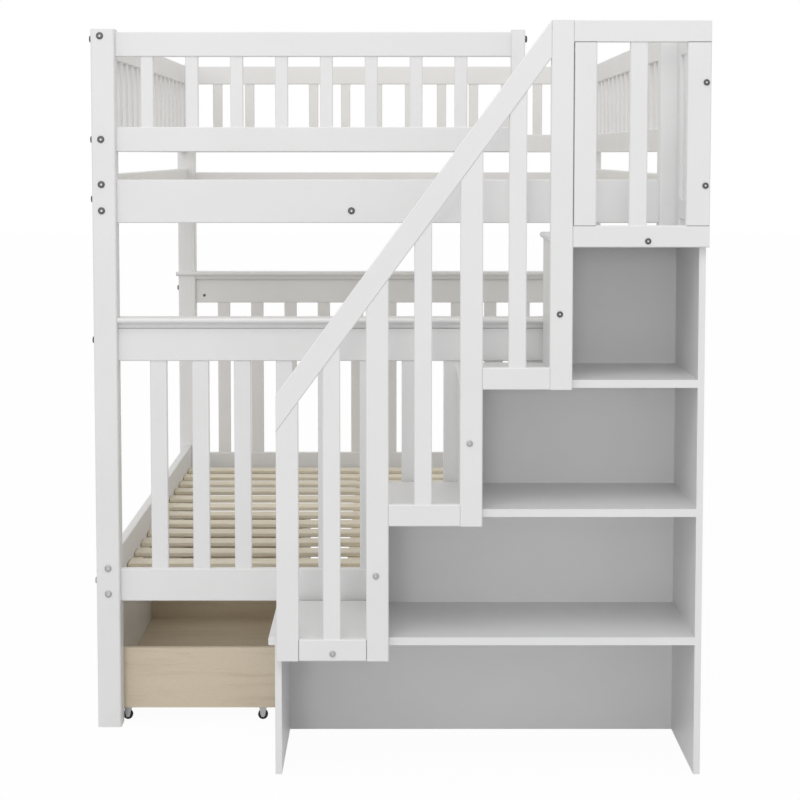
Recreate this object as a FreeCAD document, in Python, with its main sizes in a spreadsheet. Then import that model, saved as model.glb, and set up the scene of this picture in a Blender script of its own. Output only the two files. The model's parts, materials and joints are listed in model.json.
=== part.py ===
import FreeCAD, Part
import math
import os
import re
import Sketcher

# Bunk bed with storage stairs, in millimetres.
# +Z is up and the near end, with the stairs, faces -Y. The stairs climb towards +X.
# The origin is on the floor, under the centre of the whole object's bounding box.

os.makedirs("parts", exist_ok=True)
doc = FreeCAD.newDocument("bunk_bed_with_storage_stairs")

# ---------------------------------------------------------------- driving dimensions

SIZES = {
    # bed frame
    "bed_width": 1443,              # over the posts, along X
    "bed_length": 2007,             # over the posts, along Y
    "post_height": 1726,
    "post_size": 58,
    "post_round": 5,
    "rail_thickness": 22,
    "rail_ease": 2,                 # eased long edges of rails and stair boards
    "end_setback": 19,              # end rails behind the posts' outer faces
    "upper_side_setback": 12,
    "lower_side_setback": 18,
    "side_rail_height": 112,
    "lower_side_bottom": 312.5,
    "upper_side_drop": 464.5,       # from the posts' tops down to the rail's bottom
    "lower_end_bottom": 315,
    "lower_end_height": 81,
    "upper_end_drop": 471,
    "upper_end_height": 106,
    # lower bunk end panels
    "panel_rail_bottom": 915,
    "panel_rail_height": 82,
    "panel_slat_width": 42,
    "near_panel_count": 12,
    "near_panel_margin": 76.75,     # from the left post to the first slat
    "near_panel_end": 69.75,        # from the last slat to the right post
    "far_panel_count": 11,
    "far_panel_margin": 74,
    "far_panel_end": 67,
    "cap_height": 25,
    "cap_depth": 70,
    "cap_overhang": 7.5,            # the cap's inner strip past the posts, along X
    "cap_nose": 12,                 # height of the rounded nose, above the cove
    "cap_bulge": 4,                 # how far the nose rounds out
    # guard rails of the upper bunk
    "guard_low_drop": 297,          # from the posts' tops down to the rail's bottom
    "guard_top_drop": 66,
    "guard_rail_height": 60,
    "slat_thickness": 16,
    "slat_ease": 2,
    "guard_slat_width": 31.5,
    "near_guard_count": 8,
    "near_guard_margin": 60,        # from the post to the first slat
    "near_guard_end": 106,          # from the last slat to the entry post
    "far_guard_count": 12,
    "far_guard_margin": 62.5,
    "far_guard_end": 34,
    "long_guard_count": 17,
    "long_guard_margin": 38,
    "entry_post_offset": 558,       # from the stair cabinet's left face
    "entry_post_width": 33,
    "entry_post_drop": 2,           # below the posts' tops
    "cut_margin": 1,                # how far a cutting block runs past the face it cuts
    # mattress supports
    "ledger_width": 25,
    "ledger_height": 20,
    "lower_ledger_rise": 33.5,      # ledger's top above the side rail's bottom
    "upper_ledger_rise": 42.5,
    "bed_slat_width": 65,
    "bed_slat_thickness": 12,
    "bed_slat_count": 13,
    "bed_slat_margin": 73,          # from the posts' inner faces to the first slat
    "bed_slat_play": 2,             # between a slat's end and the side rail
    "beam_size": 38,
    "beam_offset": 89,              # from the bed's centre line to a beam's centre
    # stair cabinet
    "stair_depth": 380,             # from the bed's near face to the cabinet's front
    "board": 15,
    "tread_thickness": 18,
    "tread_1_top": 320,
    "tread_2_top": 617,
    "tread_3_top": 913,
    "landing_step": 20.5,           # the landing, tread 4, below the upper end rail's bottom
    "stair_width": 976.5,           # over both side panels
    "stair_inset": 2.5,             # the right side panel inside the bed's right side
    "riser_2": 222,                 # risers' left faces, from the cabinet's left face
    "riser_3": 430,
    "riser_4": 638,
    "first_nosing": 15,
    "first_nosing_ease": 2,
    "nosing": 9,
    "nosing_cove": 4,
    # stair balustrade, a flat frame on the cabinet's front
    "frame_thickness": 22,
    "stile_width": 51,
    "stile_1": 5,                   # stiles' left edges, from the cabinet's left face
    "stile_2": 209.5,
    "stile_3": 422,
    "stile_4": 624,
    "sill_1_bottom": 270,
    "sill_2_bottom": 581,
    "sill_3_bottom": 893,
    "sill_height": 50,
    "baluster_width": 40,
    "baluster_1": 111,              # balusters' left edges, from the cabinet's left face
    "baluster_2": 318.5,
    "baluster_3": 531,
    "handrail_width": 50,
    "handrail_foot": 880,           # handrail's top edge over the first stile
    "stair_guard_drop": 5,          # below the posts' tops
    "landing_rail_height": 49,
    "landing_rail_drop": 2,         # below the landing's underside
    "landing_overhang": 4.5,        # the landing guard past the right side panel
    "landing_stile_left": 51,
    "landing_stile_right": 53,
    "landing_slat": 40,
    "landing_slat_shift": 8,        # to the left of the guard's middle
    "side_guard_thickness": 19.5,
    "side_guard_rise": 33.5,        # the low rail's bottom above the landing
    "side_guard_drop": 18,          # the top rail's top below the posts' tops
    "side_guard_rail": 49,
    "side_guard_stile": 50,
    "side_guard_slat": 30,
    "side_guard_count": 3,
    "side_guard_margin": 47.5,      # from a stile to the nearest slat
    # bolts
    "bolt_sides": 10,
    "bolt_radius": 8.5,
    "stair_bolt_radius": 7,
    "bolt_head": 3,
    "bolt_socket": 3,               # hex socket's corner radius
    "bolt_socket_depth": 2,
    "bolt_row": 32,                 # of a side rail's two bolts, from the rail's middle
    "lower_end_bolt": 50.5,         # above the bottom of the rail that a bolt holds
    "panel_bolt": 51.5,
    "upper_end_bolt": 58.5,
    "guard_low_bolt": 30,
    "guard_top_bolt": 43,
    "guard_top_side_bolt": 49.5,
    "sill_bolt_rise": 17,
    "stile_bolt_inset": 22,
    "stile_2_bolt_drop": 150,       # below the tread that the stile stands at
    "stile_3_bolt_drop": 142,
    "stile_4_bolt_drop": 170.5,
    "landing_bolt_rise": 14,        # above the landing guard's bottom
    "landing_bolt_shift": 15,       # to the right of its middle
    "side_guard_bolt_rise": 85,
    "side_guard_bolt_drop": 125,
    # drawers
    "drawer_post_gap": 4,
    "drawer_middle_gap": 7,
    "drawer_depth": 450,            # from the bed's left side, inwards
    "drawer_front_bottom": 30,
    "drawer_front_top": 308,
    "grip_width": 110,              # finger notch in the middle of a front's top edge
    "grip_depth": 28,
    "drawer_box_bottom": 33,
    "drawer_box_top": 186,
    "drawer_floor_thickness": 6,
    "drawer_floor_rise": 6,
    "wheel_radius": 12.5,
    "wheel_width": 10,
    "wheel_bore": 2.05,
    "wheel_chamfer": 1.5,
    "axle_radius": 2,
    "front_wheel": 65,              # wheel centre from the bed's left side
    "rear_wheel": 406,
    "wheel_inset": 14,              # wheel's middle inside the drawer's end
    "fork_metal": 2,
    "fork_play": 0.7,
    "fork_foot": 6,                 # half of a cheek's width at the axle
    "fork_shoulder": 9,             # half of it at the plate
    "fork_plate": 40,
}

sheet = doc.addObject("Spreadsheet::Sheet", "sizes")
for line, (alias, size) in enumerate(SIZES.items(), 1):
    sheet.set(f"A{line}", alias)
    sheet.set(f"B{line}", str(size))
    sheet.setAlias(f"B{line}", alias)
doc.recompute()

# Places that several pieces share, worked out from the driving dimensions.
DERIVED = {
    "left": "-bed_width / 2",
    "right": "bed_width / 2",
    "near": "-(bed_length - stair_depth - frame_thickness) / 2",
    "far": "near + bed_length",
    "inner_left": "left + post_size",
    "inner_right": "right - post_size",
    "inner_near": "near + post_size",
    "inner_far": "far - post_size",
    "near_rail": "near + end_setback",
    "far_rail": "far - end_setback - rail_thickness",
    "lower_left_rail": "left + lower_side_setback",
    "lower_right_rail": "right - lower_side_setback - rail_thickness",
    "upper_left_rail": "left + upper_side_setback",
    "upper_right_rail": "right - upper_side_setback - rail_thickness",
    "slat_inset": "(rail_thickness - slat_thickness) / 2",
    "upper_side_bottom": "post_height - upper_side_drop",
    "upper_end_bottom": "post_height - upper_end_drop",
    "lower_ledger_top": "lower_side_bottom + lower_ledger_rise",
    "upper_ledger_top": "upper_side_bottom + upper_ledger_rise",
    "guard_low_bottom": "post_height - guard_low_drop",
    "guard_low_top": "guard_low_bottom + guard_rail_height",
    "guard_top_bottom": "post_height - guard_top_drop",
    "front": "near - stair_depth",
    "frame_front": "front - frame_thickness",
    "cabinet_right": "right - stair_inset",
    "cabinet_left": "cabinet_right - stair_width",
    "cabinet_inner_right": "cabinet_right - board",
    "entry_post": "cabinet_left + entry_post_offset",
    "tread_4_top": "upper_end_bottom - landing_step",
    "stair_guard_top": "post_height - stair_guard_drop",
    "rake": "(stair_guard_top - handrail_foot) / (stile_4 - stile_1)",
    "handrail_drop": "handrail_width * sqrt(1 + rake ^ 2)",
    "handrail_under": "handrail_foot - handrail_drop",
    "landing_rail_bottom": "tread_4_top - tread_thickness - landing_rail_drop",
    "landing_foot": "landing_rail_bottom + landing_rail_height",
    "landing_head": "stair_guard_top - landing_rail_height",
    "landing_right": "cabinet_right + landing_overhang",
    "side_guard_x": "landing_right - side_guard_thickness",
    "side_slat_inset": "(side_guard_thickness - slat_thickness) / 2",
    "side_guard_bottom": "tread_4_top + side_guard_rise",
    "side_guard_top": "post_height - side_guard_drop",
    "drawer_length": "(bed_length - 2 * post_size - 2 * drawer_post_gap - drawer_middle_gap) / 2",
    "box_floor": "drawer_box_bottom + drawer_floor_rise",
}


def formula(text):
    """Spell out the derived places and name the sheet in front of every alias."""
    def spell(match):
        word = match.group(0)
        if word in DERIVED:
            return "(" + formula(DERIVED[word]) + ")"
        return "sizes." + word if word in SIZES else word
    return re.sub(r"[a-z][a-z_0-9]*", spell, str(text))


def value(text):
    """The number that a formula stands for now."""
    return float(sheet.evalExpression(formula(text)))


def bind(item, sizes):
    """Tie properties of an object to formulas over the sheet."""
    for path, text in sizes.items():
        item.setExpression(path, formula(text))


def place(item, x, y, z):
    bind(item, {"Placement.Base.x": x, "Placement.Base.y": y, "Placement.Base.z": z})


# ---------------------------------------------------------------- ways to make a piece

NODES = []


def node(item):
    """Count an object as one of the bed's named pieces."""
    NODES.append(item)
    return item


def block(name, x, y, z):
    """A plain board, given by its low and high place along each axis."""
    box = doc.addObject("Part::Box", name)
    bind(box, {
        "Length": f"({x[1]}) - ({x[0]})",
        "Width": f"({y[1]}) - ({y[0]})",
        "Height": f"({z[1]}) - ({z[0]})",
    })
    place(box, x[0], y[0], z[0])
    return box


def own_plane(body, role):
    return next(part for part in body.Origin.OriginFeatures if part.Role == role)


def outline(body, name, role, corners):
    """Sketch a closed outline on a body's own plane, every corner tied to formulas.

    A corner is (across, up), or (across, up, radius) where a bend of that
    radius leads on to the next corner: positive bulges out, negative cuts in.
    The corners run anticlockwise.
    """
    sketch = body.newObject("Sketcher::SketchObject", name)
    sketch.AttachmentSupport = (own_plane(body, role), "")
    sketch.MapMode = "FlatFace"
    count = len(corners)
    points = [FreeCAD.Vector(value(c[0]), value(c[1]), 0) for c in corners]
    starts = []
    for index, corner in enumerate(corners):
        here, there = points[index], points[(index + 1) % count]
        if len(corner) == 2:
            sketch.addGeometry(Part.LineSegment(here, there), False)
            starts.append((1, 2))
            continue
        radius = value(corner[2])
        chord = there - here
        side = FreeCAD.Vector(-chord.y, chord.x, 0).normalize()
        reach = math.sqrt(max(radius ** 2 - (chord.Length / 2) ** 2, 0.0))
        centre = (here + there) / 2 + side * (reach if radius > 0 else -reach)
        ends = (here, there) if radius > 0 else (there, here)
        turns = [math.atan2(p.y - centre.y, p.x - centre.x) for p in ends]
        circle = Part.Circle(centre, FreeCAD.Vector(0, 0, 1), abs(radius))
        bend = sketch.addGeometry(Part.ArcOfCircle(circle, turns[0], turns[1]), False)
        starts.append((1, 2) if radius > 0 else (2, 1))
        rule = sketch.addConstraint(Sketcher.Constraint("Radius", bend, abs(radius)))
        sketch.setExpression(f"Constraints[{rule}]", formula(f"abs({corner[2]})"))
    for index, corner in enumerate(corners):
        following = (index + 1) % count
        sketch.addConstraint(Sketcher.Constraint(
            "Coincident", index, starts[index][1], following, starts[following][0]))
        for kind, text, size in (("DistanceX", corner[0], points[index].x),
                                 ("DistanceY", corner[1], points[index].y)):
            rule = sketch.addConstraint(Sketcher.Constraint(
                kind, -1, 1, index, starts[index][0], size))
            sketch.setExpression(f"Constraints[{rule}]", formula(text))
    return sketch


# For each long axis: the sketch plane, the two section axes, and whether the pad is reversed.
ALONG = {
    "x": ("YZ_Plane", ("y", "z"), False),
    "y": ("XZ_Plane", ("x", "z"), True),
    "z": ("XY_Plane", ("x", "y"), False),
}
DIRECTION = {"x": FreeCAD.Vector(1, 0, 0), "y": FreeCAD.Vector(0, 1, 0), "z": FreeCAD.Vector(0, 0, 1)}


def long_edges(shape, direction):
    """Names of the straight edges that run along a direction."""
    names = []
    for number, edge in enumerate(shape.Edges, 1):
        if isinstance(edge.Curve, Part.Line):
            if edge.tangentAt(edge.FirstParameter).cross(direction).Length < 1e-6:
                names.append(f"Edge{number}")
    return names


def dress(body, base, kind, size, direction):
    """Round or chamfer the long edges of the body's last feature."""
    doc.recompute()
    feature = body.newObject(f"PartDesign::{kind}", f"{body.Name}_ease")
    feature.Base = (base, long_edges(base.Shape, direction))
    feature.setExpression("Radius" if kind == "Fillet" else "Size", formula(size))
    body.Tip = feature
    return feature


def bar(name, along, x, y, z, ease="rail_ease", kind="Chamfer"):
    """A bar with eased long edges, given by its low and high place along each axis."""
    spans = {"x": x, "y": y, "z": z}
    plane, section, reverse = ALONG[along]
    across, up = (f"(({spans[axis][1]}) - ({spans[axis][0]}))" for axis in section)
    body = doc.addObject("PartDesign::Body", name)
    pad = body.newObject("PartDesign::Pad", f"{name}_length")
    pad.Profile = outline(body, f"{name}_section", plane,
                          [("0", "0"), (across, "0"), (across, up), ("0", up)])
    pad.Reversed = reverse
    bind(pad, {"Length": f"({spans[along][1]}) - ({spans[along][0]})"})
    body.Tip = pad
    place(body, x[0], y[0], z[0])
    dress(body, pad, kind, ease, DIRECTION[along])
    return body


def row(name, along, x, y, z, axis, count, pitch, ease="slat_ease"):
    """A row of equal bars, repeated along an axis at a pitch."""
    body = bar(name, along, x, y, z, ease)
    doc.recompute()
    pattern = body.newObject("PartDesign::LinearPattern", f"{name}_row")
    pattern.TransformMode = "Whole shape"
    pattern.Direction = (own_plane(body, f"{axis.upper()}_Axis"), [""])
    pattern.Mode = "Spacing"
    bind(pattern, {"Offset": pitch, "Occurrences": count})
    body.Tip = pattern
    return body


def group(name, pieces):
    """Several separate solids under one name."""
    compound = doc.addObject("Part::Compound", name)
    compound.Links = pieces
    return compound


def span(low, size):
    """A low and high place, from the low one and a size."""
    return (low, f"{low} + {size}")


def spread(low, high, count, width, margin, end_margin=None):
    """Where the first bar of a row between two faces starts, and the row's pitch."""
    first = f"({low} + {margin})"
    return first, f"(({high} - {end_margin or margin} - {width} - {first}) / ({count} - 1))"


# ---------------------------------------------------------------- posts and rails

LEVELS = ("lower", "upper")
POST_X = {"left": span("left", "post_size"), "right": ("inner_right", "right")}
POST_Y = {"near": span("near", "post_size"), "far": ("inner_far", "far")}
END_RAIL = {"near": span("near_rail", "rail_thickness"), "far": span("far_rail", "rail_thickness")}
BETWEEN_X = ("inner_left", "inner_right")
BETWEEN_Y = ("inner_near", "inner_far")

for end, y in POST_Y.items():
    for side, x in POST_X.items():
        node(bar(f"post_{end}_{side}", "z", x, y, ("0", "post_height"), "post_round", "Fillet"))

for level in LEVELS:
    for side in ("left", "right"):
        node(bar(f"side_rail_{level}_{side}", "y", span(f"{level}_{side}_rail", "rail_thickness"),
                 BETWEEN_Y, span(f"{level}_side_bottom", "side_rail_height")))
    for end, y in END_RAIL.items():
        node(bar(f"end_rail_{level}_{end}", "x", BETWEEN_X, y,
                 span(f"{level}_end_bottom", f"{level}_end_height")))

# ---------------------------------------------------------------- lower bunk end panels


def panel_slats(end):
    """Upright slats between the lower end rail and the panel's top rail."""
    count = f"{end}_panel_count"
    first, pitch = spread(*BETWEEN_X, count, "panel_slat_width", f"{end}_panel_margin", f"{end}_panel_end")
    return row(f"panel_slats_{end}", "z", span(first, "panel_slat_width"),
               span(f"{END_RAIL[end][0]} + slat_inset", "slat_thickness"),
               ("lower_end_bottom + lower_end_height", "panel_rail_bottom"), "x", count, pitch)


def panel_cap(end):
    """Moulded cap: a rounded nose over a cove, notched round the two posts.

    Only its inner strip runs on past the posts.
    """
    moulding = doc.addObject("PartDesign::Body", f"panel_cap_{end}_moulding")
    cove = "(cap_height - cap_nose)"
    nose = "((cap_bulge ^ 2 + (cap_nose / 2) ^ 2) / (2 * cap_bulge))"
    corners = [
        (f"cap_bulge + {cove}", "0"),
        (f"cap_depth - cap_bulge - {cove}", "0", f"-{cove}"),
        ("cap_depth - cap_bulge", cove, nose),
        ("cap_depth - cap_bulge", "cap_height"),
        ("cap_bulge", "cap_height", nose),
        ("cap_bulge", cove, f"-{cove}"),
    ]
    pad = moulding.newObject("PartDesign::Pad", f"panel_cap_{end}_length")
    pad.Profile = outline(moulding, f"panel_cap_{end}_profile", "YZ_Plane", corners)
    bind(pad, {"Length": "bed_width + 2 * cap_overhang"})
    moulding.Tip = pad
    place(moulding, "left - cap_overhang", "near" if end == "near" else "far - cap_depth",
          "panel_rail_bottom + panel_rail_height")
    ends = {"left": ("left - cap_overhang", "inner_left"), "right": ("inner_right", "right + cap_overhang")}
    notches = group(f"panel_cap_{end}_notches", [
        block(f"panel_cap_{end}_notch_{side}", x, POST_Y[end], ("0", "post_height"))
        for side, x in ends.items()])
    cap = doc.addObject("Part::Cut", f"panel_cap_{end}")
    cap.Base = moulding
    cap.Tool = notches
    return cap


for end in ("near", "far"):
    node(bar(f"panel_rail_{end}", "x", BETWEEN_X, END_RAIL[end],
             span("panel_rail_bottom", "panel_rail_height")))
    node(panel_slats(end))
    node(panel_cap(end))

# ---------------------------------------------------------------- guard rails of the upper bunk

GUARD_RAILS = (("low", span("guard_low_bottom", "guard_rail_height")),
               ("top", span("guard_top_bottom", "guard_rail_height")))
GUARD_GAP = ("guard_low_top", "guard_top_bottom")


def guard_rails(name, along, x, y):
    return node(group(name, [bar(f"{name}_{level}", along, x, y, z) for level, z in GUARD_RAILS]))


def guard_slats(side, axis, low, high, rail, kind, end_margin=None):
    """Slats between a guard's two rails, from one face to another along an axis."""
    first, pitch = spread(low, high, f"{kind}_count", "guard_slat_width", f"{kind}_margin", end_margin)
    along = span(first, "guard_slat_width")
    across = span(f"{rail} + slat_inset", "slat_thickness")
    x, y = (along, across) if axis == "x" else (across, along)
    return node(row(f"guard_slats_{side}", "z", x, y, GUARD_GAP, axis, f"{kind}_count", pitch))


guard_rails("guard_rails_near", "x", ("inner_left", "entry_post"), END_RAIL["near"])
guard_slats("near", "x", "inner_left", "entry_post", "near_rail", "near_guard", "near_guard_end")
guard_rails("guard_rails_far", "x", BETWEEN_X, END_RAIL["far"])
guard_slats("far", "x", *BETWEEN_X, "far_rail", "far_guard", "far_guard_end")
for side in ("left", "right"):
    guard_rails(f"guard_rails_{side}", "y", span(f"upper_{side}_rail", "rail_thickness"), BETWEEN_Y)
    guard_slats(side, "y", *BETWEEN_Y, f"upper_{side}_rail", "long_guard")


def entry_post():
    """Short post at the stair opening: its foot laps over the front of the upper end rail."""
    x = span("entry_post", "entry_post_width")
    upper = bar("entry_post_upper", "z", x, ("near", "near_rail + rail_thickness"),
                ("upper_end_bottom", "post_height - entry_post_drop"), "slat_ease")
    notch = block("entry_post_notch",
                  ("entry_post - cut_margin", "entry_post + entry_post_width + cut_margin"),
                  ("near_rail", "near_rail + rail_thickness + cut_margin"),
                  ("upper_end_bottom - cut_margin", "upper_end_bottom + upper_end_height"))
    post = doc.addObject("Part::Cut", "entry_post")
    post.Base = upper
    post.Tool = notch
    return post


node(entry_post())

# ---------------------------------------------------------------- mattress supports


def ledgers(level):
    """Strips along the inner faces of the side rails that the slats lie on."""
    z = (f"{level}_ledger_top - ledger_height", f"{level}_ledger_top")
    x = {"left": span(f"{level}_left_rail + rail_thickness", "ledger_width"),
         "right": (f"{level}_right_rail - ledger_width", f"{level}_right_rail")}
    return [block(f"slat_ledger_{level}_{side}", x[side], BETWEEN_Y, z) for side in x]


def mattress_slats(level):
    """Loose pine slats across the ledgers and the centre beams."""
    first, pitch = spread(*BETWEEN_Y, "bed_slat_count", "bed_slat_width", "bed_slat_margin")
    return row(f"mattress_slats_{level}", "x",
               (f"{level}_left_rail + rail_thickness + bed_slat_play", f"{level}_right_rail - bed_slat_play"),
               span(first, "bed_slat_width"),
               span(f"{level}_ledger_top", "bed_slat_thickness"),
               "y", "bed_slat_count", pitch)


def centre_beams(level):
    """Two lengthwise beams under the middle of the slats, held between the end rails."""
    z = (f"{level}_ledger_top - beam_size", f"{level}_ledger_top")
    middles = {"left": "-beam_offset", "right": "beam_offset"}
    return [block(f"centre_beam_{level}_{side}", span(f"{middle} - beam_size / 2", "beam_size"),
                  ("near_rail + rail_thickness", "far_rail"), z)
            for side, middle in middles.items()]


for level in LEVELS:
    node(mattress_slats(level))
node(group("slat_ledgers", [piece for level in LEVELS for piece in ledgers(level)]))
node(group("centre_beams", [piece for level in LEVELS for piece in centre_beams(level)]))

# ---------------------------------------------------------------- stair cabinet

TREADS = (("1", "cabinet_left", "first_nosing"), ("2", "cabinet_left + riser_2", "nosing"),
          ("3", "cabinet_left + riser_3", "nosing"), ("4", "cabinet_left + riser_4", "nosing"))


def square_nose():
    """Left end of the first tread: square with eased edges."""
    return [
        ("first_nosing_ease", "tread_thickness"),
        ("0", "tread_thickness - first_nosing_ease"),
        ("0", "first_nosing_ease"),
        ("first_nosing_ease", "0"),
    ]


def round_nose(overhang):
    """Left end of a higher tread: rounded, over a cove against the riser."""
    nose = "((tread_thickness - nosing_cove) / 2)"
    return [
        (nose, "tread_thickness", nose),
        ("0", f"tread_thickness - {nose}", nose),
        (nose, f"tread_thickness - 2 * {nose}"),
        (f"({overhang} - nosing_cove)", f"tread_thickness - 2 * {nose}", "-nosing_cove"),
        (overhang, "0"),
    ]


def tread(number, face, overhang):
    """Step board that carries on as a shelf to the right side panel."""
    body = doc.addObject("PartDesign::Body", f"tread_{number}")
    right = "cabinet_right" if number == "4" else "cabinet_inner_right"
    length = f"({right} - ({face}) + {overhang})"
    nose = square_nose() if number == "1" else round_nose(overhang)
    pad = body.newObject("PartDesign::Pad", f"tread_{number}_depth")
    pad.Profile = outline(body, f"tread_{number}_profile", "XZ_Plane",
                          [(length, "0"), (length, "tread_thickness")] + nose)
    pad.Reversed = True
    bind(pad, {"Length": "stair_depth"})
    body.Tip = pad
    place(body, f"{face} - {overhang}", "front", f"tread_{number}_top - tread_thickness")
    return body


for number, face, overhang in TREADS:
    node(tread(number, face, overhang))

STAIR_Y = ("front", "near")
node(block("stair_side_left", span("cabinet_left", "board"), STAIR_Y,
           ("0", "tread_1_top - tread_thickness")))
node(block("stair_side_right", ("cabinet_inner_right", "cabinet_right"), STAIR_Y,
           ("0", "tread_4_top - tread_thickness")))
node(group("stair_risers", [
    block(f"stair_riser_{number}", span(f"cabinet_left + riser_{number}", "board"), STAIR_Y,
          (f"tread_{int(number) - 1}_top", f"tread_{number}_top - tread_thickness"))
    for number in ("2", "3", "4")]))
BACK_PANELS = (("1", "0", "0"), ("2", "riser_2", "tread_1_top"), ("3", "riser_3", "tread_2_top"),
               ("4", "riser_4", "tread_3_top"))
node(group("stair_backs", [
    block(f"stair_back_{number}", (f"cabinet_left + {x} + board", "cabinet_inner_right"),
          ("near - board", "near"), (z, f"tread_{number}_top - tread_thickness"))
    for number, x, z in BACK_PANELS]))

# ---------------------------------------------------------------- stair balustrade

FRAME_Y = ("frame_front", "front")
BALUSTER_Y = span("frame_front + slat_inset", "slat_thickness")
SILLS = {"1": "sill_1_bottom", "2": "sill_2_bottom", "3": "sill_3_bottom"}
STILE_FEET = {"1": "sill_1_bottom", "2": "sill_1_bottom", "3": "sill_2_bottom"}


def mitred_bar(name, low_x, width, y, low_z, ease):
    """Upright bar whose top is cut to the slope of the handrail above it."""
    cut_low = f"(handrail_under + ({low_x} - cabinet_left - stile_1) * rake - ({low_z}))"
    cut_high = f"({cut_low} + {width} * rake)"
    body = bar(name, "z", span(low_x, width), y, (low_z, f"{low_z} + {cut_high}"), ease)
    doc.recompute()
    pocket = body.newObject("PartDesign::Pocket", f"{name}_mitre")
    pocket.Profile = outline(body, f"{name}_slope", "XZ_Plane",
                             [("0", cut_low), (width, cut_high), ("0", cut_high)])
    pocket.Type = "ThroughAll"
    body.Tip = pocket
    return body


def handrail():
    """Sloping handrail, cut upright at both ends."""
    run = "(stile_4 - stile_1)"
    rise = f"({run} * rake)"
    body = doc.addObject("PartDesign::Body", "stair_handrail")
    pad = body.newObject("PartDesign::Pad", "stair_handrail_thickness")
    pad.Profile = outline(body, "stair_handrail_side", "XZ_Plane", [
        ("0", "0"), (run, rise), (run, f"{rise} + handrail_drop"), ("0", "handrail_drop")])
    pad.Reversed = True
    bind(pad, {"Length": "frame_thickness"})
    place(body, "cabinet_left + stile_1", "frame_front", "handrail_under")
    slope = FreeCAD.Vector(1, 0, value("rake")).normalize()
    dress(body, pad, "Chamfer", "slat_ease", slope)
    return body


node(handrail())
stiles = [
    mitred_bar(f"stair_stile_{number}", f"cabinet_left + stile_{number}", "stile_width", FRAME_Y,
               foot, "slat_ease")
    for number, foot in STILE_FEET.items()]
stiles.append(bar("stair_stile_4", "z", span("cabinet_left + stile_4", "stile_width"), FRAME_Y,
                  ("sill_3_bottom", "stair_guard_top"), "slat_ease"))
node(group("stair_stiles", stiles))
node(group("stair_sills", [
    bar(f"stair_sill_{number}", "x",
        (f"cabinet_left + stile_{number} + stile_width", f"cabinet_left + stile_{int(number) + 1}"),
        FRAME_Y, span(bottom, "sill_height"), "slat_ease")
    for number, bottom in SILLS.items()]))


def baluster(number, bottom):
    """Thinner upright between two stiles, from a sill to the handrail."""
    return mitred_bar(f"stair_baluster_{number}", f"cabinet_left + baluster_{number}", "baluster_width",
                      BALUSTER_Y, f"{bottom} + sill_height", "slat_ease")


node(group("stair_balusters", [baluster(number, bottom) for number, bottom in SILLS.items()]))

LANDING_X = ("cabinet_left + stile_4 + stile_width", "landing_right")
LANDING_GAP = ("landing_foot", "landing_head")
node(group("landing_guard_front", [
    bar("landing_rail_low", "x", LANDING_X, FRAME_Y,
        span("landing_rail_bottom", "landing_rail_height"), "slat_ease"),
    bar("landing_rail_top", "x", LANDING_X, FRAME_Y,
        span("landing_head", "landing_rail_height"), "slat_ease"),
    bar("landing_stile_left", "z", span(LANDING_X[0], "landing_stile_left"), FRAME_Y, LANDING_GAP,
        "slat_ease"),
    bar("landing_stile_right", "z", (f"{LANDING_X[1]} - landing_stile_right", LANDING_X[1]), FRAME_Y,
        LANDING_GAP, "slat_ease"),
    bar("landing_slat_front", "z",
        span(f"(({LANDING_X[0]}) + ({LANDING_X[1]}) - landing_slat) / 2 - landing_slat_shift",
             "landing_slat"),
        BALUSTER_Y, LANDING_GAP, "slat_ease"),
]))

SIDE_X = span("side_guard_x", "side_guard_thickness")
SIDE_Y = ("front + side_guard_stile", "near - side_guard_stile")
SIDE_GAP = ("side_guard_bottom + side_guard_rail", "side_guard_top - side_guard_rail")
side_first, side_pitch = spread(f"({SIDE_Y[0]})", f"({SIDE_Y[1]})", "side_guard_count", "side_guard_slat",
                                "side_guard_margin")
node(group("landing_guard_side", [
    bar("side_guard_stile_front", "z", SIDE_X, span("front", "side_guard_stile"),
        ("tread_4_top", "side_guard_top"), "slat_ease"),
    bar("side_guard_stile_back", "z", SIDE_X, ("near - side_guard_stile", "near"),
        ("tread_4_top", "side_guard_top"), "slat_ease"),
    bar("side_guard_rail_low", "y", SIDE_X, SIDE_Y, span("side_guard_bottom", "side_guard_rail"),
        "slat_ease"),
    bar("side_guard_rail_top", "y", SIDE_X, SIDE_Y,
        ("side_guard_top - side_guard_rail", "side_guard_top"), "slat_ease"),
    row("side_guard_slats", "z", span("side_guard_x + side_slat_inset", "slat_thickness"),
        span(side_first, "side_guard_slat"), SIDE_GAP,
        "y", "side_guard_count", side_pitch),
]))

# ---------------------------------------------------------------- bolts


def bolt(name, radius):
    """Flat bolt head with a hex socket, its seat on the origin and its face towards +Z."""
    head = doc.addObject("Part::Prism", f"{name}_head")
    bind(head, {"Polygon": "bolt_sides", "Circumradius": radius, "Height": "bolt_head"})
    socket = doc.addObject("Part::Prism", f"{name}_socket")
    socket.Polygon = 6
    bind(socket, {"Circumradius": "bolt_socket", "Height": "bolt_head"})
    place(socket, "0", "0", "bolt_head - bolt_socket_depth")
    whole = doc.addObject("Part::Cut", name)
    whole.Base = head
    whole.Tool = socket
    return whole


FACING = {
    "near": FreeCAD.Rotation(FreeCAD.Vector(1, 0, 0), 90),
    "far": FreeCAD.Rotation(FreeCAD.Vector(1, 0, 0), -90),
    "left": FreeCAD.Rotation(FreeCAD.Vector(0, 1, 0), -90),
    "right": FreeCAD.Rotation(FreeCAD.Vector(0, 1, 0), 90),
}


def bolt_at(pattern, name, facing, x, y, z):
    link = doc.addObject("App::Link", name)
    link.LinkedObject = pattern
    link.Placement = FreeCAD.Placement(FreeCAD.Vector(), FACING[facing])
    place(link, x, y, z)
    return link


def bolt_pair(low):
    """Heights of the two bolts into a side rail's end."""
    return [f"{low} + side_rail_height / 2 {sign} bolt_row" for sign in "-+"]


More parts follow.
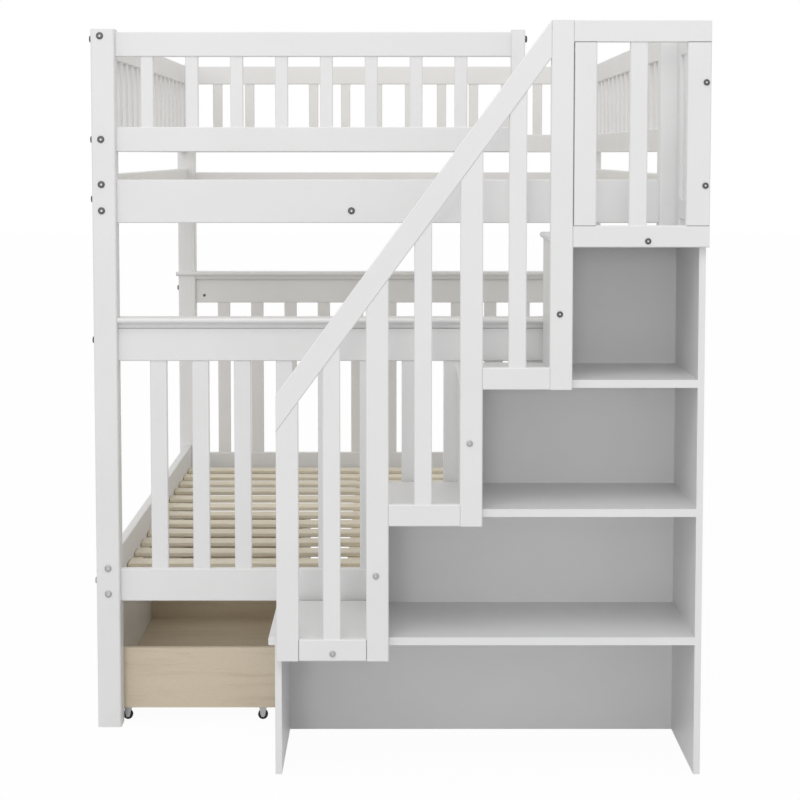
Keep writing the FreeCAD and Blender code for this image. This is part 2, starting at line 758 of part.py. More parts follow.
SIDE_BOLTS = {
    "lower": bolt_pair("lower_side_bottom"),
    "upper": bolt_pair("upper_side_bottom") + ["guard_low_bottom + guard_low_bolt",
                                               "guard_top_bottom + guard_top_side_bolt"],
}
END_BOLTS = ["lower_end_bottom + lower_end_bolt", "panel_rail_bottom + panel_bolt",
             "upper_end_bottom + upper_end_bolt"]
GUARD_BOLTS = ["guard_low_bottom + guard_low_bolt", "guard_top_bottom + guard_top_bolt"]


def bed_bolts():
    """Bolts through the posts into the ends of every rail, and into the upper centre beams.

    The near right post has none on its near face, where the stairs stand against it.
    """
    pattern = bolt("bed_bolt", "bolt_radius")
    sites = []
    for end, side in (("near", "left"), ("far", "left"), ("far", "right")):
        for level, heights in SIDE_BOLTS.items():
            middle = f"{level}_{side}_rail + rail_thickness / 2"
            sites += [(end, middle, end, z) for z in heights]
        middle = f"{END_RAIL[end][0]} + rail_thickness / 2"
        sites += [(side, side, middle, z) for z in END_BOLTS + GUARD_BOLTS]
    sites += [("right", "right", "near_rail + rail_thickness / 2", z) for z in END_BOLTS]
    for z in GUARD_BOLTS:
        sites.append(("right", "entry_post + entry_post_width", "near_rail + rail_thickness / 2", z))
    beam = "upper_ledger_top - beam_size / 2"
    for x in ("-beam_offset", "beam_offset"):
        sites += [("near", x, "near_rail", beam), ("far", x, "far_rail + rail_thickness", beam)]
    return group("bed_bolts", [bolt_at(pattern, f"bed_bolt_{count}", *site)
                               for count, site in enumerate(sites, 1)])


def stair_bolts():
    """Smaller bolts that hold the balustrade and the landing guard to the cabinet."""
    pattern = bolt("stair_bolt", "stair_bolt_radius")
    guard_x = "landing_right - frame_thickness / 2"
    sites = [
        ("cabinet_left + (stile_1 + stile_width + stile_2) / 2", "sill_1_bottom + sill_bolt_rise"),
        (f"({LANDING_X[0]} + {LANDING_X[1]}) / 2 + landing_bolt_shift",
         "landing_rail_bottom + landing_bolt_rise"),
        (guard_x, "side_guard_bottom + side_guard_bolt_rise"),
        (guard_x, "side_guard_top - side_guard_bolt_drop"),
    ]
    sites += [(f"cabinet_left + stile_{number} + stile_bolt_inset",
               f"tread_{number}_top - stile_{number}_bolt_drop")
              for number in ("2", "3", "4")]
    return group("stair_bolts", [bolt_at(pattern, f"stair_bolt_{count}", "near", x, "frame_front", z)
                                 for count, (x, z) in enumerate(sites, 1)])


node(bed_bolts())
node(stair_bolts())

# ---------------------------------------------------------------- drawers on wheels


def drawer_front(name, low_y):
    """Front board with a shallow finger notch in the middle of its top edge."""
    height = "(drawer_front_top - drawer_front_bottom)"
    bend = "(((grip_width / 2) ^ 2 + grip_depth ^ 2) / (2 * grip_depth))"
    body = doc.addObject("PartDesign::Body", f"{name}_front")
    pad = body.newObject("PartDesign::Pad", f"{name}_front_thickness")
    pad.Profile = outline(body, f"{name}_front_face", "YZ_Plane", [
        ("0", "0"), ("drawer_length", "0"), ("drawer_length", height),
        ("(drawer_length + grip_width) / 2", height, f"-{bend}"),
        ("(drawer_length - grip_width) / 2", height), ("0", height)])
    bind(pad, {"Length": "board"})
    body.Tip = pad
    place(body, "left", low_y, "drawer_front_bottom")
    return body


def drawer(name, low_y):
    """A drawer that rolls out from under the lower bunk along -X on four fixed casters."""
    high_y = f"{low_y} + drawer_length"
    inner_y = (f"{low_y} + board", f"{high_y} - board")
    box_x = ("left + board", "left + drawer_depth")
    box_z = ("drawer_box_bottom", "drawer_box_top")
    node(drawer_front(name, low_y))
    node(group(f"{name}_box", [
        block(f"{name}_side_near", box_x, span(low_y, "board"), box_z),
        block(f"{name}_side_far", box_x, (f"{high_y} - board", high_y), box_z),
        block(f"{name}_back", ("left + drawer_depth - board", "left + drawer_depth"), inner_y, box_z),
    ]))
    node(block(f"{name}_floor", ("left + board", "left + drawer_depth - board"), inner_y,
               span("box_floor", "drawer_floor_thickness")))
    middles = (f"{low_y} + wheel_inset", f"{high_y} - wheel_inset")
    node(group(f"{name}_casters", [
        caster(f"{name}_caster_{place_x}_{count}", f"left + {place_x}_wheel", y)
        for place_x in ("front", "rear") for count, y in enumerate(middles, 1)]))
    for place_x in ("front", "rear"):
        node(group(f"{name}_{place_x}_wheels", [
            wheel(f"{name}_{place_x}_wheel_{count}", f"left + {place_x}_wheel", y)
            for count, y in enumerate(middles, 1)]))


def wheel(name, x, y):
    """Small wheel with chamfered rims and a bore for its axle, turning about Y."""
    body = doc.addObject("PartDesign::Body", name)
    turn = body.newObject("PartDesign::Revolution", f"{name}_turn")
    turn.Profile = outline(body, f"{name}_section", "XY_Plane", [
        ("wheel_bore", "0"), ("wheel_radius - wheel_chamfer", "0"), ("wheel_radius", "wheel_chamfer"),
        ("wheel_radius", "wheel_width - wheel_chamfer"),
        ("wheel_radius - wheel_chamfer", "wheel_width"), ("wheel_bore", "wheel_width")])
    turn.ReferenceAxis = (own_plane(body, "Y_Axis"), [""])
    turn.Angle = 360
    body.Tip = turn
    place(body, x, f"{y} - wheel_width / 2", "wheel_radius")
    return body


def cheek(name, x, low_y):
    """Side of a caster's fork, tapered from the plate down to its foot round the axle."""
    rise = "(drawer_box_bottom - fork_metal - wheel_radius + fork_foot)"
    body = doc.addObject("PartDesign::Body", name)
    pad = body.newObject("PartDesign::Pad", f"{name}_thickness")
    pad.Profile = outline(body, f"{name}_side", "XZ_Plane", [
        ("fork_shoulder - fork_foot / 2", "0"), ("fork_shoulder + fork_foot / 2", "0"),
        ("fork_shoulder + fork_foot", "fork_foot"), ("2 * fork_shoulder", rise), ("0", rise),
        ("fork_shoulder - fork_foot", "fork_foot")])
    pad.Reversed = True
    bind(pad, {"Length": "fork_metal"})
    body.Tip = pad
    place(body, f"{x} - fork_shoulder", low_y, "wheel_radius - fork_foot")
    return body


def caster(name, x, y):
    """Pressed fork: a plate under the drawer side, two cheeks and the axle between them."""
    half_width = "(wheel_width / 2 + fork_play)"
    outer = (f"{y} - {half_width} - fork_metal", f"{y} + {half_width} + fork_metal")
    axle = doc.addObject("Part::Cylinder", f"{name}_axle")
    axle.Placement = FreeCAD.Placement(FreeCAD.Vector(), FACING["far"])
    bind(axle, {"Radius": "axle_radius", "Height": f"2 * {half_width}"})
    place(axle, x, f"{y} - {half_width}", "wheel_radius")
    fork = doc.addObject("Part::MultiFuse", name)
    fork.Shapes = [
        block(f"{name}_plate", span(f"{x} - fork_plate / 2", "fork_plate"), outer,
              ("drawer_box_bottom - fork_metal", "drawer_box_bottom")),
        cheek(f"{name}_cheek_near", x, outer[0]),
        cheek(f"{name}_cheek_far", x, f"{y} + {half_width}"),
        axle,
    ]
    return fork


drawer("drawer_near", "inner_near + drawer_post_gap")
drawer("drawer_far", "inner_near + drawer_post_gap + drawer_length + drawer_middle_gap")

# ---------------------------------------------------------------- checks, then one file per piece

doc.recompute()
for item in doc.Objects:
    if "Invalid" in item.State or "Error" in item.State:
        raise RuntimeError(f"{item.Label} failed: {item.State}")
for item in NODES:
    if item.Shape.isNull() or not item.Shape.isValid():
        raise RuntimeError(f"{item.Label} has no valid shape")
for item in NODES:
    item.Shape.exportStep(f"parts/{item.Label}.step")
print(len(NODES), "pieces")
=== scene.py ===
import json
import math

import bmesh
import bpy
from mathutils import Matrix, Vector


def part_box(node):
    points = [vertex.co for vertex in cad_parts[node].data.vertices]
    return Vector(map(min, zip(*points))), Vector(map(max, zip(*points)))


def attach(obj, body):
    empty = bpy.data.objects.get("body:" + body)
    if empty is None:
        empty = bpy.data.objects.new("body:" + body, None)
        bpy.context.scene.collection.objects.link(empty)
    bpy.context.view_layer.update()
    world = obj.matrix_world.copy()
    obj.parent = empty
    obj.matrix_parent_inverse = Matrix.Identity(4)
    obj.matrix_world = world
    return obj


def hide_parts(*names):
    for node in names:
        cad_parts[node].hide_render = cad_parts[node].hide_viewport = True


# Looks of the bunk bed with storage stairs, in metres. +Z is up, and the stairs stand at -Y.

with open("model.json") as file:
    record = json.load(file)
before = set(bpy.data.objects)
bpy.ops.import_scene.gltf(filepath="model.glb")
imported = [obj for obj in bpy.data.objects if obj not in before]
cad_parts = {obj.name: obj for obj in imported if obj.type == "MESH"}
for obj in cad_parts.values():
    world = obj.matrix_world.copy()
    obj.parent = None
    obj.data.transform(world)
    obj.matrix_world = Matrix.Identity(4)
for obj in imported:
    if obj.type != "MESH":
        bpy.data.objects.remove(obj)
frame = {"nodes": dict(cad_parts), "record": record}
NODES = frame["nodes"]
SLOT_OF = {part["node"]: part["material_slot"] for part in frame["record"]["subparts"]}
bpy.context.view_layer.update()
MM = 0.001

# ---------------------------------------------------------------- node graphs


class Graph:
    """A material's node tree, built one node at a time."""

    def __init__(self, name):
        self.material = bpy.data.materials.new(name)
        self.material.use_nodes = True
        self.tree = self.material.node_tree
        self.shader = self.tree.nodes["Principled BSDF"]
        self.output = self.tree.nodes["Material Output"]

    def add(self, kind, inputs=None, **settings):
        """Make a node. An input is a plain value, or a socket that is linked to it."""
        item = self.tree.nodes.new(kind)
        for key, setting in settings.items():
            setattr(item, key, setting)
        for key, given in (inputs or {}).items():
            self.feed(item.inputs[key], given)
        return item

    def feed(self, socket, given):
        if isinstance(given, bpy.types.NodeSocket):
            self.tree.links.new(given, socket)
        else:
            socket.default_value = given

    def place(self, stretch):
        """Coordinates in the row frame, scaled along each axis."""
        source = self.add("ShaderNodeTexCoord").outputs["Object"]
        return self.add("ShaderNodeMapping", {"Vector": source, "Scale": stretch}).outputs["Vector"]

    def noise(self, vector, scale, detail=3.0, roughness=0.5):
        return self.add("ShaderNodeTexNoise", {
            "Vector": vector, "Scale": scale, "Detail": detail, "Roughness": roughness}).outputs["Fac"]

    def spread(self, fac, low, high, to_low, to_high):
        """Map a value from one range to another, held at both ends."""
        return self.add("ShaderNodeMapRange", {
            "Value": fac, "From Min": low, "From Max": high, "To Min": to_low, "To Max": to_high,
        }).outputs["Result"]

    def ramp(self, fac, stops):
        """Colours along a value, from pairs of position and colour."""
        item = self.add("ShaderNodeValToRGB", {"Fac": fac})
        ramp = item.color_ramp
        ramp.elements[0].position, ramp.elements[-1].position = stops[0][0], stops[-1][0]
        ramp.elements[0].color, ramp.elements[-1].color = (*stops[0][1], 1), (*stops[-1][1], 1)
        for position, colour in stops[1:-1]:
            ramp.elements.new(position).color = (*colour, 1)
        return item.outputs["Color"]

    def mix(self, fac, first, second, kind="MIX"):
        item = self.add("ShaderNodeMix", data_type="RGBA", blend_type=kind)
        for socket, given in zip((item.inputs[0], item.inputs[6], item.inputs[7]), (fac, first, second)):
            self.feed(socket, given)
        return item.outputs[2]

    def bump(self, height, distance, strength=1.0):
        normal = self.add("ShaderNodeBump", {
            "Height": height, "Distance": distance, "Strength": strength}).outputs["Normal"]
        self.tree.links.new(normal, self.shader.inputs["Normal"])


# Grain runs along one axis: it varies slowly along it and fast across it.
ALONG = {"x": (0.06, 1.0, 1.0), "y": (1.0, 0.06, 1.0), "z": (1.0, 1.0, 0.06)}
EVEN = (1, 1, 1)

# The first number of each kind is its noise's scale. Two roughness values are those at the noise's low
# and high end.
PAINT_GRAIN, PAINT_CLOUD, PAINT_PEEL = 420.0, 6.0, 900.0
PAINT_DIM, PAINT_BRIGHT = 0.745, 0.765      # greys of the lacquer
PAINT_IN_GRAIN, PAINT_THIN = 0.66, 0.05     # grey in the grain, and how much of it shows through
PAINT_ROUGH = (0.42, 0.5)
PAINT_SPECULAR = 0.4

PORE_SCALE, PORE_SHARE, PORE_DIM = 1500.0, 0.25, 0.6
BLOTCH_SCALE, BLOTCH_SHARE, BLOTCH_DIM = 9.0, 0.35, 0.86
BOARD_TONES = (0.9, 1.04)                   # darkest and lightest board against the wood's own colour
WOOD_ROUGH = (0.62, 0.5)

BRUSH_SCALE, BRUSH_STRETCH, BRUSH_DIM = 1800.0, (0.2, 1.0, 1.0), 0.9
STEEL_ROUGH_SPREAD = 0.1

WHEEL_GRIT = 1400.0
WHEEL_DIM, WHEEL_BRIGHT = 0.010, 0.022
WHEEL_ROUGH = (0.55, 0.7)
WHEEL_SPECULAR = 0.25


def shade(value):
    """A grey as a colour."""
    return (value, value, value)


def painted(axis):
    """White satin lacquer over planed wood: the grain just shows through the paint film."""
    graph = Graph(f"white_paint_{axis}")
    fine = graph.noise(graph.place(ALONG[axis]), PAINT_GRAIN, 4.0, 0.6)
    cloud = graph.noise(graph.place(EVEN), PAINT_CLOUD, 2.0)
    tone = graph.ramp(cloud, [(0.3, shade(PAINT_DIM)), (0.7, shade(PAINT_BRIGHT))])
    worn = graph.mix(graph.spread(fine, 0.35, 0.65, 0.0, PAINT_THIN), tone, (*shade(PAINT_IN_GRAIN), 1))
    graph.feed(graph.shader.inputs["Base Color"], worn)
    peel = graph.noise(graph.place(EVEN), PAINT_PEEL, 1.0)
    graph.feed(graph.shader.inputs["Roughness"], graph.spread(peel, 0.3, 0.7, *PAINT_ROUGH))
    graph.shader.inputs["Specular IOR Level"].default_value = PAINT_SPECULAR
    graph.bump(fine, 0.06 * MM, 0.6)
    return graph.material


def bare_wood(name, axis, light, dark, band, board_pitch=0.0):
    """Unpainted wood with rings stretched along the board, blotches and pores, and a tone for each board."""
    graph = Graph(name)
    along = graph.place(ALONG[axis])
    warp = graph.noise(along, BLOTCH_SCALE, 2.0)
    rings = graph.add("ShaderNodeTexNoise", {
        "Vector": along, "Scale": band, "Detail": 5.0, "Roughness": 0.62, "Distortion": 0.6}).outputs["Fac"]
    colour = graph.ramp(rings, [(0.3, dark), (0.48, light), (0.7, light)])
    blotch = graph.mix(graph.spread(warp, 0.35, 0.7, 0.0, BLOTCH_SHARE), colour,
                       (*(BLOTCH_DIM * part for part in light), 1))
    pores = graph.noise(along, PORE_SCALE, 2.0)
    pored = graph.mix(graph.spread(pores, 0.52, 0.72, 0.0, PORE_SHARE), blotch,
                      (*(PORE_DIM * part for part in dark), 1))
    if board_pitch:
        spot = graph.add("ShaderNodeTexCoord").outputs["Object"]
        parts = graph.add("ShaderNodeSeparateXYZ", {"Vector": spot})
        step = graph.add("ShaderNodeMath", {0: parts.outputs["Y"], 1: board_pitch}, operation="DIVIDE")
        whole = graph.add("ShaderNodeMath", {0: step.outputs[0]}, operation="FLOOR")
        luck = graph.add("ShaderNodeTexWhiteNoise", {"W": whole.outputs[0]}, noise_dimensions="1D")
        lift = graph.spread(luck.outputs["Value"], 0.0, 1.0, *BOARD_TONES)
        grey = graph.add("ShaderNodeCombineColor", {"Red": lift, "Green": lift, "Blue": lift})
        pored = graph.mix(1.0, pored, grey.outputs["Color"], "MULTIPLY")
    graph.feed(graph.shader.inputs["Base Color"], pored)
    graph.feed(graph.shader.inputs["Roughness"], graph.spread(rings, 0.3, 0.7, *WOOD_ROUGH))
    graph.bump(rings, 0.12 * MM, 0.6)
    return graph.material


def steel(name, colour, roughness):
    """Plated steel with faint brushing."""
    graph = Graph(name)
    brushed = graph.noise(graph.place(BRUSH_STRETCH), BRUSH_SCALE, 2.0)
    graph.feed(graph.shader.inputs["Base Color"], graph.ramp(brushed, [
        (0.3, tuple(BRUSH_DIM * part for part in colour)), (0.7, colour)]))
    graph.shader.inputs["Metallic"].default_value = 1.0
    graph.feed(graph.shader.inputs["Roughness"], graph.spread(
        brushed, 0.3, 0.7, roughness, roughness + STEEL_ROUGH_SPREAD))
    graph.bump(brushed, 0.02 * MM, 0.4)
    return graph.material


def rubber():
    """Black wheel plastic with a fine moulded texture."""
    graph = Graph("wheel")
    grit = graph.noise(graph.place(EVEN), WHEEL_GRIT, 3.0)
    graph.feed(graph.shader.inputs["Base Color"], graph.ramp(
        grit, [(0.3, shade(WHEEL_DIM)), (0.7, shade(WHEEL_BRIGHT))]))
    graph.feed(graph.shader.inputs["Roughness"], graph.spread(grit, 0.3, 0.7, *WHEEL_ROUGH))
    graph.shader.inputs["Specular IOR Level"].default_value = WHEEL_SPECULAR
    graph.bump(grit, 0.05 * MM, 0.5)
    return graph.material


PAINT = {axis: painted(axis) for axis in "xyz"}
PINE_LIGHT, PINE_DARK = (0.80, 0.73, 0.59), (0.70, 0.61, 0.46)
DRAWER_LIGHT, DRAWER_DARK = (0.66, 0.57, 0.44), (0.56, 0.47, 0.35)
SLAT_PITCH = 0.14                           # one tone for each slat
PINE_BAND, DRAWER_BAND = 60.0, 90.0         # scale of the growth rings
MATERIALS = {
    "pine_slats": bare_wood("pine_slats", "x", PINE_LIGHT, PINE_DARK, PINE_BAND, SLAT_PITCH),
    "pine_rails": bare_wood("pine_rails", "y", PINE_LIGHT, PINE_DARK, PINE_BAND),
    "drawer_wood": bare_wood("drawer_wood", "x", DRAWER_LIGHT, DRAWER_DARK, DRAWER_BAND),
    "caster_metal": steel("caster_metal", shade(0.34), 0.38),
    "bolt_steel": steel("bolt_steel", shade(0.10), 0.32),
    # A lighter copy of the bolt steel for the lower bolt heads: painted reflection of the floor, not a
    # different metal.
    "bolt_steel_painted_reflection": steel("bolt_steel_painted_reflection", shade(0.38), 0.28),
    "socket_steel": steel("socket_steel", shade(0.62), 0.30),
    "wheel": rubber(),
}

# Which way the grain runs in the painted pieces. The rest stand upright.
GRAIN_X = ("end_rail", "panel_rail", "panel_cap", "guard_rails_near", "guard_rails_far", "tread",
           "stair_sills", "stair_handrail", "stair_backs")
GRAIN_Y = ("side_rail", "guard_rails_left", "guard_rails_right", "drawer_near_front", "drawer_far_front")


def finish_of(name):
    """The material of a CAD node: its slot's, and for paint the one with the right grain."""
    if SLOT_OF[name] != "white_paint":
        return MATERIALS[SLOT_OF[name]]
    if name.startswith(GRAIN_X):
        return PAINT["x"]
    return PAINT["y" if name.startswith(GRAIN_Y) else "z"]


for name, item in NODES.items():
    item.data.materials.clear()
    item.data.materials.append(finish_of(name))

# ---------------------------------------------------------------- bolt heads

BOLT_SEGMENTS = 36
SOCKET_SHARE = 0.36             # the socket's reach against the head's radius
SHARP_BANDS = (0, 6, 7, 8)      # the head's side, the flat round the socket and the socket's walls
SOCKET_BAND = 7                 # from here on the bands belong to the socket
BOLT_REACH = 0.012              # every vertex of one CAD bolt lies nearer than this to its middle
PAINTED_REFLECTION_BELOW = 0.9              # the bolt heads lower than this get a lighter copy of the same steel: painted reflection of the floor
SIDE_HEAD = 6.5 * MM            # the heads on the bed's long sides stand out further


def bolt_sites(name):
    """Where each bolt head of a CAD node sits: its seat's middle, facing, radius and height."""
    groups = []
    for vertex in NODES[name].data.vertices:
        near = [group for group in groups if (group[0] - vertex.co).length < 2 * BOLT_REACH]
        if near:
            near[0].append(vertex.co.copy())
        else:
            groups.append([vertex.co.copy()])
    sites = []
    for group in groups:
        low = Vector(min(co[i] for co in group) for i in range(3))
        high = Vector(max(co[i] for co in group) for i in range(3))
        size = high - low
        thin = min(range(3), key=lambda i: size[i])
        middle = (low + high) / 2
        facing = Vector((0, 0, 0))
        facing[thin] = math.copysign(1.0, middle[thin])
        height = SIDE_HEAD if thin == 0 else size[thin]
        sites.append((middle - facing * size[thin] / 2, facing, max(size) / 2, height))
    return sites


def hexagon(angle, radius):
    """How far a hexagon reaches at an angle."""
    sector = math.radians(60)
    return radius * math.cos(sector / 2) / math.cos(angle % sector - sector / 2)


def bolt_rings(radius, height):
    """Rings of a bolt head from its seat to its socket's bottom: radius, height and whether six-sided."""
    socket = SOCKET_SHARE * radius
    return [
        (radius, 0.0, False), (radius, 0.45 * height, False), (0.97 * radius, 0.68 * height, False),
        (0.90 * radius, 0.86 * height, False), (0.78 * radius, 0.97 * height, False),
        (0.66 * radius, height, False), (1.35 * socket, height, False), (1.12 * socket, height, True),
        (socket, 0.88 * height, True), (socket, 0.36 * height, True), (0.62 * socket, 0.28 * height, False),
        (0.2 * socket, 0.2 * height, False),
    ]


def add_bolt(mesh, site):
    """Build one head with a rounded rim and a hex socket."""
    seat, facing, radius, height = site
    turn = facing.to_track_quat("Z", "Y")
    rings = []
    for ring_radius, level, six_sided in bolt_rings(radius, height):
        ring = []
        for step in range(BOLT_SEGMENTS):
            angle = math.tau * step / BOLT_SEGMENTS
            reach = hexagon(angle, ring_radius) if six_sided else ring_radius
            spot = Vector((reach * math.cos(angle), reach * math.sin(angle), level))
            ring.append(mesh.verts.new(seat + turn @ spot))
        rings.append(ring)
    for number, (outer, inner) in enumerate(zip(rings, rings[1:])):
        for step in range(BOLT_SEGMENTS):
            following = (step + 1) % BOLT_SEGMENTS
            face = mesh.faces.new((outer[step], outer[following], inner[following], inner[step]))
            face.smooth = number not in SHARP_BANDS
            face.material_index = 1 if number >= SOCKET_BAND else 0
    mesh.faces.new(rings[-1]).material_index = 1
    mesh.faces.new(list(reversed(rings[0])))


def make_piece(name, mesh, materials):
    """Turn mesh code into a piece of the scene."""
    data = bpy.data.meshes.new(name)
    mesh.to_mesh(data)
    mesh.free()
    for material in materials:
        data.materials.append(material)
    piece = bpy.data.objects.new(name, data)
    bpy.context.scene.collection.objects.link(piece)
    return piece


def bolt_heads(node):
    """Detailed heads in place of a node's plain ones, split by height: dark steel above, a lighter copy
    below as painted reflection.
    """
    sites = bolt_sites(node)
    for kind, chosen, reflection_copy in (
            ("upper", [site for site in sites if site[0].z > PAINTED_REFLECTION_BELOW], "bolt_steel"),
            ("lower", [site for site in sites if site[0].z <= PAINTED_REFLECTION_BELOW], "bolt_steel_painted_reflection")):
        mesh = bmesh.new()
        for site in chosen:
            add_bolt(mesh, site)
        piece = make_piece(f"{node}_{kind}_heads", mesh, [MATERIALS[reflection_copy], MATERIALS["socket_steel"]])
        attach(piece, "frame")
        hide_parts(node)


for node in ("bed_bolts", "stair_bolts"):
    bolt_heads(node)

# ---------------------------------------------------------------- painted shade lines and barrel nuts

STAIR_FACE = -1204.5 * MM       # the front face of the balustrade and of the landing guard
JOINT_WIDTH = 0.5 * MM
JOINT_DEEP = 1.5 * MM           # into the wood, past the eased edges
JOINT_PROUD = 0.03 * MM
CAP_LINE = 0.9 * MM             # height of the painted shade line under a cap
# Noise scale and greys of the dark strips that stand for the shade in the joints: painted shade.
SEAM_SHADE_NOISE, SEAM_DIM, SEAM_BRIGHT = 300.0, 0.05, 0.10
# Start and end of each joint, as x and z: both ends of the lowest sill, then the landing guard.
STAIR_JOINTS = (
    ((-0.2015, 0.2705), (-0.2015, 0.3195)), ((-0.048, 0.2705), (-0.048, 0.3195)),
    ((0.4175, 1.2645), (0.4175, 1.671)),
    ((0.4175, 1.2635), (0.468, 1.2635)), ((0.671, 1.2635), (0.7225, 1.2635)),
    ((0.4175, 1.672), (0.468, 1.672)), ((0.671, 1.672), (0.7225, 1.672)),
)
NUT_X, NUT_Z = 0.6349, 0.94
NUT_RADIUS = 5.0 * MM
NUT_PROUD = 0.5 * MM
NUT_SLOT = (0.7 * NUT_RADIUS, 0.13 * NUT_RADIUS)    # half the slot's length and half its width


def add_block(mesh, low, high, slot=0):
    """Closed block between two corners."""
    spots = [mesh.verts.new((x, y, z)) for z in (low[2], high[2]) for y in (low[1], high[1])
             for x in (low[0], high[0])]
    for face in ((0, 2, 3, 1), (4, 5, 7, 6), (0, 1, 5, 4), (2, 6, 7, 3), (0, 4, 6, 2), (1, 3, 7, 5)):
        mesh.faces.new([spots[i] for i in face]).material_index = slot


def painted_joint_shade():
    """Dark matt strip where two white pieces meet: painted shade of the joint."""
    graph = Graph("painted_joint_shade")
    shade_noise = graph.noise(graph.place(EVEN), SEAM_SHADE_NOISE, 2.0)
    graph.feed(graph.shader.inputs["Base Color"], graph.ramp(
        shade_noise, [(0.3, shade(SEAM_DIM)), (0.7, shade(SEAM_BRIGHT))]))
    graph.shader.inputs["Roughness"].default_value = 0.9
    return graph.material


MATERIALS["painted_joint_shade"] = painted_joint_shade()


def painted_shade_lines():
    """Thin dark strips in the joints of the stair frame and under the moulded caps: painted shade."""
    mesh = bmesh.new()
    half = JOINT_WIDTH / 2
    for (x0, z0), (x1, z1) in STAIR_JOINTS:
        wide, tall = (half, 0) if x0 == x1 else (0, half)
        add_block(mesh, (x0 - wide, STAIR_FACE - JOINT_PROUD, z0 - tall),
                  (x1 + wide, STAIR_FACE + JOINT_DEEP, z1 + tall))
    for side in ("near", "far"):
        low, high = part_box(f"panel_rail_{side}")
        for face, out in ((low.y, -1), (high.y, 1)):
            ends = sorted((face + out * JOINT_PROUD, face - out * JOINT_DEEP))
            add_block(mesh, (low.x + MM, ends[0], high.z - CAP_LINE), (high.x - MM, ends[1], high.z))
    piece = make_piece("painted_shade_lines", mesh, [MATERIALS["painted_joint_shade"]])
    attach(piece, "frame")


def add_nut(mesh, seat, facing):
    """Round end of a barrel nut; its screwdriver slot is a dark block on its face, painted shade."""
    turn = facing.to_track_quat("Z", "Y")
    angles = [math.tau * step / BOLT_SEGMENTS for step in range(BOLT_SEGMENTS)]
    rings = [
        [mesh.verts.new(seat + turn @ Vector((radius * math.cos(angle), radius * math.sin(angle), level)))
         for angle in angles]
        for radius, level in ((NUT_RADIUS, -NUT_PROUD), (NUT_RADIUS, 0.6 * NUT_PROUD),
                              (0.9 * NUT_RADIUS, NUT_PROUD))]
    for outer, inner in zip(rings, rings[1:]):
        for step in range(BOLT_SEGMENTS):
            following = (step + 1) % BOLT_SEGMENTS
            mesh.faces.new((outer[step], outer[following], inner[following], inner[step]))
    mesh.faces.new(rings[-1])
    mesh.faces.new(list(reversed(rings[0])))
    depth = sorted((seat.y, seat.y + facing.y * (NUT_PROUD + JOINT_PROUD)))
    reach, half = NUT_SLOT
    # The slot is a dark block standing proud of the nut: painted shade where a recess would be.
    add_block(mesh, (seat.x - reach, depth[0], seat.z - half), (seat.x + reach, depth[1], seat.z + half), 1)


def barrel_nuts():
    """Nuts in the inner faces of the two panel rails."""
    mesh = bmesh.new()
    for side, pick, out in (("near", 1, 1), ("far", 0, -1)):
        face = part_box(f"panel_rail_{side}")[pick].y
        for x in (-NUT_X, NUT_X):
            add_nut(mesh, Vector((x, face, NUT_Z)), Vector((0, out, 0)))
    piece = make_piece("barrel_nuts", mesh, [MATERIALS["bolt_steel"], MATERIALS["painted_joint_shade"]])
    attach(piece, "frame")


painted_shade_lines()
barrel_nuts()

# ---------------------------------------------------------------- room, light and camera

FLOOR_SIZE = 60.0
FLOOR_CLEAN = 0.95              # share of plain white where the camera sees the floor
FLOOR_GLOW = 1.014              # makes up for the lit share: the open floor is as white as the background
FLOOR_GREY, FLOOR_ROUGH = 0.60, 0.8
SKY = 0.90                      # strength of the even light from all round
KEY_PLACE = Vector((-0.5, -3.9, 4.7))
KEY_SIZE = 2.5
KEY_POWER = 52.0
SUN_SIDE, SUN_RISE = math.radians(-6), math.radians(5)
SUN_WIDTH = math.radians(10)
SUN_STRENGTH = 0.3
AIM = Vector((0.0, 0.0, 0.8))


def white_to_camera(graph, shadowed, clean):
    """Blend a lit shader towards plain white where the camera, a mirror or glass sees it."""
    rays = graph.add("ShaderNodeLightPath").outputs
    seen = rays["Is Camera Ray"]
    for kind in ("Is Glossy Ray", "Is Transmission Ray"):
        seen = graph.add("ShaderNodeMath", {0: seen, 1: rays[kind]}, operation="MAXIMUM").outputs[0]
    share = graph.add("ShaderNodeMath", {0: seen, 1: clean}, operation="MULTIPLY")
    glow = graph.add("ShaderNodeEmission", {"Color": (1, 1, 1, 1), "Strength": FLOOR_GLOW})
    return graph.add("ShaderNodeMixShader", {
        0: share.outputs[0], 1: shadowed, 2: glow.outputs[0]}).outputs[0]


def floor():
    """Plain pale floor that keeps a soft shadow under the bed."""
    mesh = bpy.data.meshes.new("floor")
    half = FLOOR_SIZE / 2
    mesh.from_pydata([(-half, -half, 0), (half, -half, 0), (half, half, 0), (-half, half, 0)], [],
                     [(0, 1, 2, 3)])
    item = bpy.data.objects.new("floor", mesh)
    bpy.context.scene.collection.objects.link(item)
    graph = Graph("floor")
    graph.shader.inputs["Base Color"].default_value = (*shade(FLOOR_GREY), 1)
    graph.shader.inputs["Roughness"].default_value = FLOOR_ROUGH
    lit = graph.shader.outputs[0]
    graph.tree.links.new(white_to_camera(graph, lit, FLOOR_CLEAN), graph.output.inputs["Surface"])
    mesh.materials.append(graph.material)


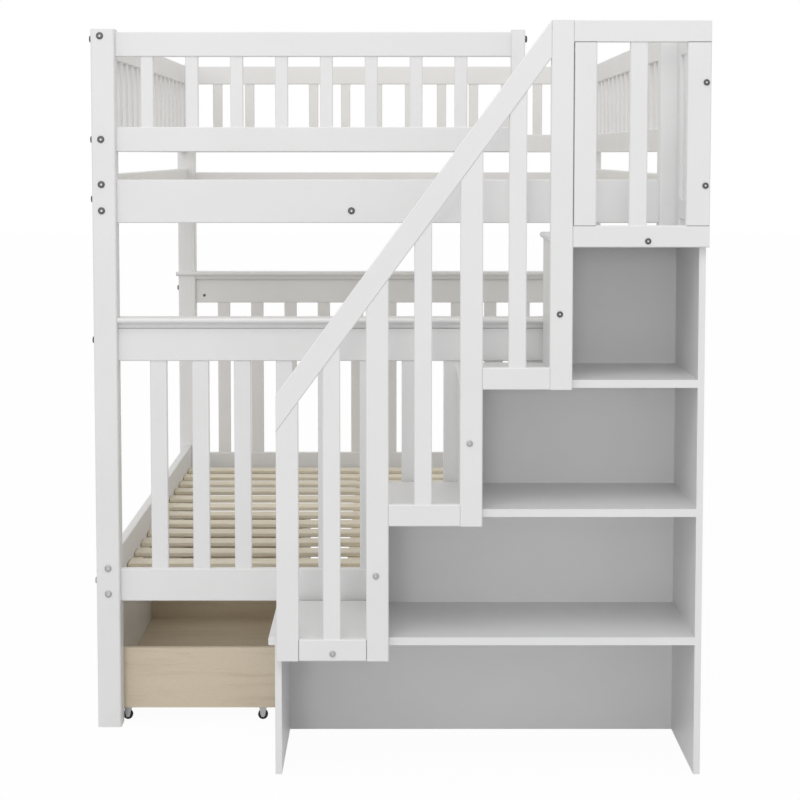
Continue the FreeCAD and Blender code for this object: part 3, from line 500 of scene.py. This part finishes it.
def sky():
    """Even studio light, which the camera sees as plain white."""
    world = bpy.data.worlds.new("studio")
    world.use_nodes = True
    tree = world.node_tree
    back = tree.nodes["Background"]
    back.inputs["Color"].default_value = (1, 1, 1, 1)
    rays = tree.nodes.new("ShaderNodeLightPath").outputs
    seen = rays["Is Camera Ray"]
    for kind in ("Is Glossy Ray", "Is Transmission Ray"):
        either = tree.nodes.new("ShaderNodeMath")
        either.operation = "MAXIMUM"
        tree.links.new(seen, either.inputs[0])
        tree.links.new(rays[kind], either.inputs[1])
        seen = either.outputs[0]
    strength = tree.nodes.new("ShaderNodeMapRange")
    tree.links.new(seen, strength.inputs["Value"])
    strength.inputs["To Min"].default_value = SKY
    strength.inputs["To Max"].default_value = 1.0
    tree.links.new(strength.outputs["Result"], back.inputs["Strength"])
    bpy.context.scene.world = world


def soft_lamp(name, place, size, power):
    """Square soft box that faces the bed."""
    lamp = bpy.data.lights.new(name, "AREA")
    lamp.shape = "SQUARE"
    lamp.size = size
    lamp.energy = power
    item = bpy.data.objects.new(name, lamp)
    item.location = place
    item.rotation_mode = "QUATERNION"
    item.rotation_quaternion = (AIM - place).to_track_quat("-Z", "Y")
    bpy.context.scene.collection.objects.link(item)


def far_lamp(name, side, rise, strength):
    """Distant lamp in front of the bed, so that near and far pieces get the same light."""
    lamp = bpy.data.lights.new(name, "SUN")
    lamp.energy = strength
    lamp.angle = SUN_WIDTH
    item = bpy.data.objects.new(name, lamp)
    item.rotation_euler = (math.pi / 2 - rise, 0, side)
    bpy.context.scene.collection.objects.link(item)


CAMERA_PLACE = (0.0144, -5.7025, 1.424)
CAMERA_PITCH = math.radians(4.5)
CAMERA_LENS, SENSOR_WIDTH = 90.26, 36.0
CAMERA_SHIFT = (0.008, -0.1104)
CLIP_END = 100.0


def camera():
    """The photograph's viewpoint: far back, a little under the upper guard rail."""
    data = bpy.data.cameras.new("camera")
    data.lens = CAMERA_LENS
    data.sensor_width = SENSOR_WIDTH
    data.shift_x, data.shift_y = CAMERA_SHIFT
    data.clip_end = CLIP_END
    item = bpy.data.objects.new("camera", data)
    item.location = CAMERA_PLACE
    item.rotation_euler = (math.pi / 2 - CAMERA_PITCH, 0, 0)
    bpy.context.scene.collection.objects.link(item)
    bpy.context.scene.camera = item


floor()
sky()
soft_lamp("key", KEY_PLACE, KEY_SIZE, KEY_POWER)
far_lamp("front", SUN_SIDE, SUN_RISE, SUN_STRENGTH)
camera()
bpy.context.scene.view_settings.view_transform = "Standard"
